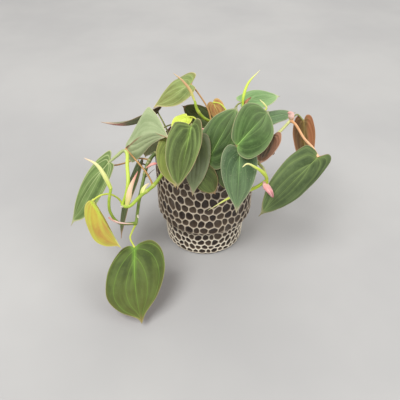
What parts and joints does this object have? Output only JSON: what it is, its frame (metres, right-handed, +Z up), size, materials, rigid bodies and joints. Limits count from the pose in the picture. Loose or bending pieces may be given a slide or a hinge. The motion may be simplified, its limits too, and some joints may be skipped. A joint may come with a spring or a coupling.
{
  "type": "potted velvet leaf philodendron",
  "caption": "Trailing house plant with heart-shaped velvety leaves on thin stems, in a round glazed pot with a raised net of ridges.",
  "frame": {"origin": "centre of the pot's flat base, on the surface that it stands on", "axes": "+Z up along the pot's axis, -Y towards the front where most leaves hang, +X to the right seen from the front"},
  "size_m": [0.292, 0.2677, 0.2122],
  "materials": {
    "glazed_net": "raised net of pale matt glaze round dark glossy dishes",
    "potting_mix": "loose dark potting mix",
    "leaf_green": "velvety green blade with lighter veins and a coppery underside",
    "leaf_sage": "velvety pale sage blade",
    "leaf_olive": "velvety olive blade",
    "leaf_brown": "coppery brown underside turned outwards",
    "leaf_lime": "young chartreuse blade",
    "leaf_gold": "young golden blade with a lime midrib",
    "stem": "smooth green stem, waxy",
    "new_leaf": "smooth rolled new leaf",
    "sheath_pink": "thin pink sheath",
    "sheath_cream": "thin cream sheath"
  },
  "bodies": {
    "root": {"pot": "glazed_net", "soil": "potting_mix", "leaf_01": "leaf_green", "leaf_02": "leaf_green", "leaf_03": "leaf_sage", "leaf_04": "leaf_green", "leaf_05": "leaf_green", "leaf_06": "leaf_olive", "leaf_07": "leaf_olive", "leaf_08": "leaf_green", "leaf_09": "leaf_green", "leaf_10": "leaf_green", "leaf_11": "leaf_green", "leaf_12": "leaf_brown", "leaf_13": "leaf_brown", "leaf_14": "leaf_green", "leaf_15": "leaf_green", "leaf_16": "leaf_green", "leaf_17": "leaf_brown", "leaf_18": "leaf_lime", "leaf_19": "leaf_green", "leaf_20": "leaf_green", "leaf_21": "leaf_green", "leaf_22": "leaf_gold", "leaf_23": "leaf_green", "leaf_24": "leaf_sage", "leaf_25": "leaf_green", "leaf_26": "leaf_green", "leaf_27": "leaf_green", "leaf_28": "leaf_green", "leaf_29": "leaf_green", "vine_left_front": "stem", "vine_left": "stem", "vine_front": "stem", "vine_centre": "stem", "vine_right_back": "stem", "vine_right": "stem", "vine_right_front": "stem", "vine_back": "stem", "new_leaf_left": "new_leaf", "new_leaf_low_left": "new_leaf", "new_leaf_back": "new_leaf", "new_leaf_top": "new_leaf", "new_leaf_middle": "new_leaf", "new_leaf_right": "new_leaf", "new_leaf_low_right": "new_leaf", "sheath_left": "sheath_pink", "sheath_cream": "sheath_cream", "sheath_low_left": "sheath_pink", "sheath_lowest": "sheath_pink", "sheath_right": "sheath_pink", "sheath_far_right": "sheath_pink", "sheath_centre": "sheath_pink", "sheath_top": "sheath_pink"}
  },
  "joints": []
}
